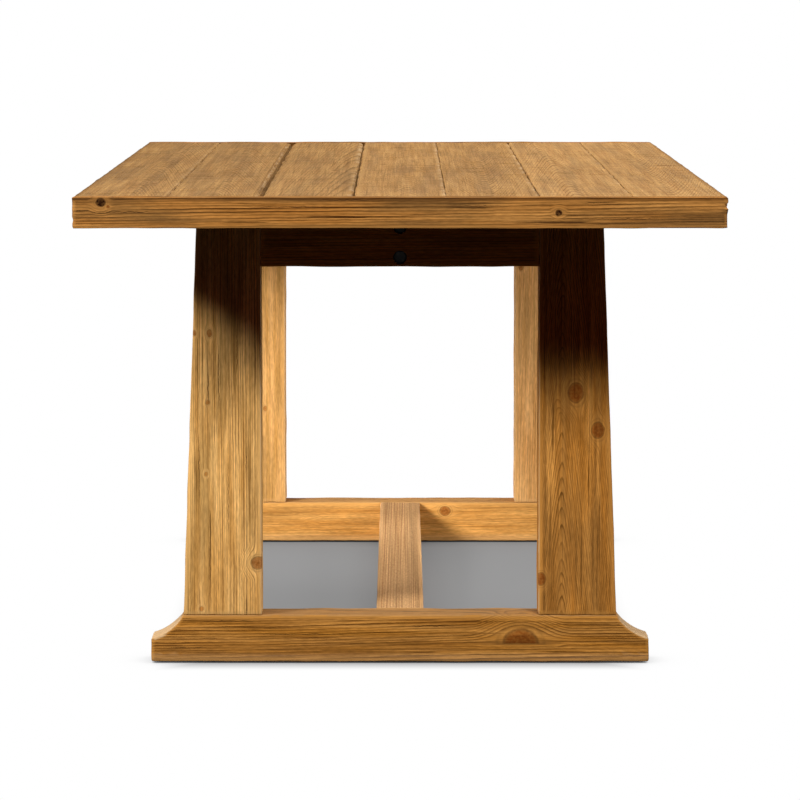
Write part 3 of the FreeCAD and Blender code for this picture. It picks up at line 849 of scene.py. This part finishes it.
for end, knots in BASE_KNOTS.items():
    node = end + "_base"
    low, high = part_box(node)
    piece = sawn(node + "_beam", low, high)
    columns = [leg_foot + (half_base - leg_foot) * k / COVE_STEPS for k in range(COVE_STEPS + 1)]
    for x in columns[:-1]:
        for side in (-1, 1):
            pick(piece, "VERT", lambda p: True)
            bpy.ops.mesh.bisect(plane_co=(side * x, 0, 0), plane_no=(1, 0, 0))
            done()
    for x in columns[1:]:
        moved(piece, lambda p: abs(abs(p.x) - x) < VERY_CLOSE and p.z > high.z - VERY_CLOSE,
              (0, 0, -cove_drop(x)))
    worked(piece, node, TIMBER_ARRIS, BASE_CUTS, X, longest_kept=COVE_EDGE)
    # The coves pale as fresh-cut wood and with a painted highlight, the top and foot rubbed pale, and the
    # top darker between the legs
    tinted(piece, "fresh_wood_and_highlight", lambda p, n: COVE_PALE if abs(p.x) > leg_foot + COVE_START and n.z > PARTLY
            else RUBBED if n.z > MOSTLY_UP or p.z < low.z + RUBBED_HEIGHT else 0)
    tinted(piece, "dirt_and_painted_shade", lambda p, n: BASE_TOP_DARKENING if abs(p.x) < leg_foot and n.z > MOSTLY_UP else 0)
    heart = ((low.y + high.y) / 2 + BASE_HEART_BEHIND, low.z - BASE_HEART_UNDER)
    fitted(piece, node,
           old_pine(f"brushed_old_pine_{end}_base", BASE_SHADES[end], X, heart, BASE_LEAN, knots,
                    BASE_CRACKS[end], **BASE_RINGS, **BASE_GRAIN[end]))

RAIL_HEART_UNDER, RAIL_LEAN = 90 * MM, (0, 0.015)

for end, outward in (("front", -1), ("back", 1)):
    node = end + "_top_rail"
    low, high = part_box(node)
    low.x, high.x = -half_opening, half_opening
    piece = sawn(node + "_beam", low, high)
    worked(piece, node, TIMBER_ARRIS, RAIL_CUTS, X)
    outer = low.y if outward < 0 else high.y
    middle_y = (low.y + high.y) / 2
    for level in (low.z + BOLT_EDGE, high.z - BOLT_EDGE):
        bored(piece, Vector((0, outer + outward * DRILL_START, level)),
              Vector((0, outer - outward * BOLT_BORE_DEPTH, level)), BOLT_BORE)
    for plank in ("top_plank_3", "top_plank_5"):
        x = sum(corner.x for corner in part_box(plank)) / 2
        bored(piece, Vector((x, middle_y, low.z - DRILL_START)),
              Vector((x, middle_y, low.z + SCREW_BORE_DEPTH)), SCREW_BORE)
    fitted(piece, node,
           old_pine(f"brushed_old_pine_{end}_rail", ORANGE_SHADES, X, (middle_y, low.z - RAIL_HEART_UNDER),
                    RAIL_LEAN))

# The long members between the trestles

STRETCHER_HEART, STRETCHER_LEAN = (-90 * MM, 20 * MM), (0.004, 0.0)
STRETCHER_GRAIN = {"ring": 3.6 * MM, "sway": 2 * MM, "lines": 1.0, "fibres": 0.18, "stretch": 7,
                   "late_share": 0.4}
BEAM_HEART, BEAM_LEAN = (40 * MM, 600 * MM), (0.0, 0.01)

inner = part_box("back_base")[0].y
low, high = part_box("lower_stretcher")
low.y, high.y = -inner, inner
piece = sawn("lower_stretcher_beam", low, high)
worked(piece, "lower_stretcher", TIMBER_ARRIS, LONG_TIMBER_CUTS, Y, STRETCHER_WEAR)
fitted(piece, "lower_stretcher",
       old_pine("brushed_old_pine_stretcher", STRETCHER_SHADES, Y, STRETCHER_HEART, STRETCHER_LEAN,
                **STRETCHER_GRAIN))

low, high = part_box("upper_beam")
piece = sawn("upper_beam_timber", low, high)
worked(piece, "upper_beam", TIMBER_ARRIS, LONG_TIMBER_CUTS, Y)
fitted(piece, "upper_beam",
       old_pine("brushed_old_pine_upper_beam", LEG_SHADES, Y, BEAM_HEART, BEAM_LEAN))

# Joinery and fasteners keep their solids and get their finish
finishes = {"joint_beech": beech(), "fastener_steel": black_steel(), "glide_felt": brown_felt()}
for part in frame["record"]["subparts"]:
    if part["material_slot"] in finishes:
        solid = frame["nodes"][part["node"]]
        solid.data.materials.clear()
        solid.data.materials.append(finishes[part["material_slot"]])

# Stage

scene = bpy.context.scene
scene.view_settings.view_transform = "Standard"

FLOOR_RADIUS = 12.0
PAINTED_SHADE_EDGES = [(0.26, 0.40), (0.72, 0.86)]        # where the painted shade under the table fades out, along X and Y
# The painted shade under the table: a fixed grey glow, and painted contact shadows from how closed in each
# point of the floor is
PAINTED_SHADE_LEVEL = 0.235
CONTACT_REACH = 90 * MM
PAINTED_CONTACT_SHADE = [(0, 0.05), (0.45, 0.78), (0.9, 1.0)]
CONTACT_SAMPLES = 8
PAPER_IN_SHADE = (0.06, 0.06, 0.06, 1)
PAPER_TO_WOOD = (0.02, 0.02, 0.02, 1)             # dim, so that the floor throws no light up at the table
WHITE = (1, 1, 1, 1)
AMBIENT = 0.05
AMBIENT_TINT = colour("#ff3c2c")                  # the warm light that the wood throws into the shade


def white_to_camera(tree):
    """One where a ray comes from the camera, a mirror or a clear part."""
    path = add(tree, "LightPath").outputs
    seen = add(tree, "Math", {0: path["Is Camera Ray"], 1: path["Is Glossy Ray"]}, operation="MAXIMUM")
    return add(tree, "Math", {0: seen, 1: path["Is Transmission Ray"]}, operation="MAXIMUM")


def paper_floor():
    """Matt white studio paper: to the camera, a painted shade under the table and white all round it, both
    with painted contact shadows.
    """
    material, tree = new_tree("white_studio_paper")
    place = add(tree, "TexCoord").outputs["Object"]
    axes = add(tree, "SeparateXYZ", {0: place}).outputs
    clear = []
    for axis, (near, far) in zip(axes, PAINTED_SHADE_EDGES):
        out = add(tree, "Math", {0: axis}, operation="ABSOLUTE")
        clear.append(add(tree, "MapRange", {"Value": out, "From Min": near, "From Max": far},
                         interpolation_type="SMOOTHSTEP"))
    around = add(tree, "Math", {0: clear[0], 1: clear[1]}, operation="MAXIMUM")
    # Under the table a dim sheet keeps the lamps' shadows under a fixed grey glow; the glow and the white
    # round it are darkened near the table by a painted contact shadow
    sheet = add(tree, "BsdfDiffuse", {"Color": PAPER_IN_SHADE})
    open_sky = add(tree, "AmbientOcclusion", {"Distance": CONTACT_REACH},
                   samples=CONTACT_SAMPLES).outputs["AO"]
    painted_contact = add(tree, "ValToRGB", {0: open_sky}, stops=PAINTED_CONTACT_SHADE)
    painted_shade_glow = add(tree, "Emission", {"Color": painted_contact, "Strength": PAINTED_SHADE_LEVEL})
    painted_shade = add(tree, "AddShader", {0: sheet, 1: painted_shade_glow})
    white = add(tree, "Emission", {"Color": painted_contact, "Strength": 1.0})
    shown = add(tree, "MixShader", {0: around, 1: painted_shade, 2: white})
    dim = add(tree, "BsdfDiffuse", {"Color": PAPER_TO_WOOD})
    surface = add(tree, "MixShader", {0: white_to_camera(tree), 1: dim, 2: shown})
    add(tree, "OutputMaterial", {"Surface": surface})
    return material


bpy.ops.object.select_all(action="DESELECT")
bpy.ops.mesh.primitive_plane_add(size=2 * FLOOR_RADIUS)
floor = bpy.context.object
floor.name = "studio_floor"
floor.data.materials.append(paper_floor())

world = bpy.data.worlds.new("studio")
scene.world = world
world.use_nodes = True
world.node_tree.nodes.clear()
shown = white_to_camera(world.node_tree)
strength = add(world.node_tree, "MapRange", {"Value": shown, "To Min": AMBIENT, "To Max": 1.0})
tint = add(world.node_tree, "Mix", {0: shown, 6: AMBIENT_TINT, 7: WHITE}, data_type="RGBA")
background = add(world.node_tree, "Background", {"Color": tint, "Strength": strength})
add(world.node_tree, "OutputWorld", {"Surface": background})

# Softboxes: name, place, what they point at, width and height, watts and spread in degrees. Two high in
# front light the end and leave the legs' heads in the top's shade, one evens out the far half of the top,
# two low ones under the top light the back trestle, and two behind light the other sides.
SOFTBOXES = [
    ("key", (1.0, -4.05, 4.04), (0.0, -0.78, 0.35), (1.6, 1.1), 222, 180),
    ("side_key", (-2.5, -2.6, 2.4), (-0.28, -0.78, 0.38), (0.9, 0.6), 125, 180),
    ("overhead", (0.3, 1.0, 2.2), (0.3, 1.0, 0.76), (1.4, 1.0), 19, 180),
    ("left_strip", (-0.8, -0.2, 0.64), (0.1, 0.75, 0.0), (0.5, 0.1), 1.85, 54),
    ("right_strip", (0.85, -0.15, 0.5), (-0.05, 0.2, 0.05), (0.7, 0.3), 4.4, 110),
    ("rear_left", (-3.6, 3.2, 1.5), (0, 0.6, 0.4), (2.0, 2.0), 110, 180),
    ("rear_right", (3.6, 3.2, 1.5), (0, 0.6, 0.4), (2.0, 2.0), 110, 180),
]
for name, place, target, size, watts, spread in SOFTBOXES:
    lamp_data = bpy.data.lights.new(name, "AREA")
    lamp_data.shape = "RECTANGLE"
    lamp_data.size, lamp_data.size_y = size
    lamp_data.energy = watts
    lamp_data.spread = radians(spread)
    lamp = bpy.data.objects.new(name, lamp_data)
    scene.collection.objects.link(lamp)
    lamp.location = place
    lamp.rotation_euler = (Vector(target) - Vector(place)).to_track_quat("-Z", "Y").to_euler()
    lamp.visible_camera = False

# Camera: a long lens square to the front end, a little above the top and pitched down
CAMERA_PLACE = (0, -7.790, 1.117)
CAMERA_PITCH = 5.65                # degrees
FOCAL_PIXELS = 4426.5
FRAME_PIXELS = 800
SENSOR_WIDTH = 36
CLIP_END = 300
camera_data = bpy.data.cameras.new("camera")
camera_data.sensor_width = SENSOR_WIDTH
camera_data.lens = SENSOR_WIDTH * FOCAL_PIXELS / FRAME_PIXELS
camera_data.clip_end = CLIP_END
camera = bpy.data.objects.new("camera", camera_data)
scene.collection.objects.link(camera)
camera.location = CAMERA_PLACE
camera.rotation_euler = (radians(90 - CAMERA_PITCH), 0, 0)
scene.camera = camera
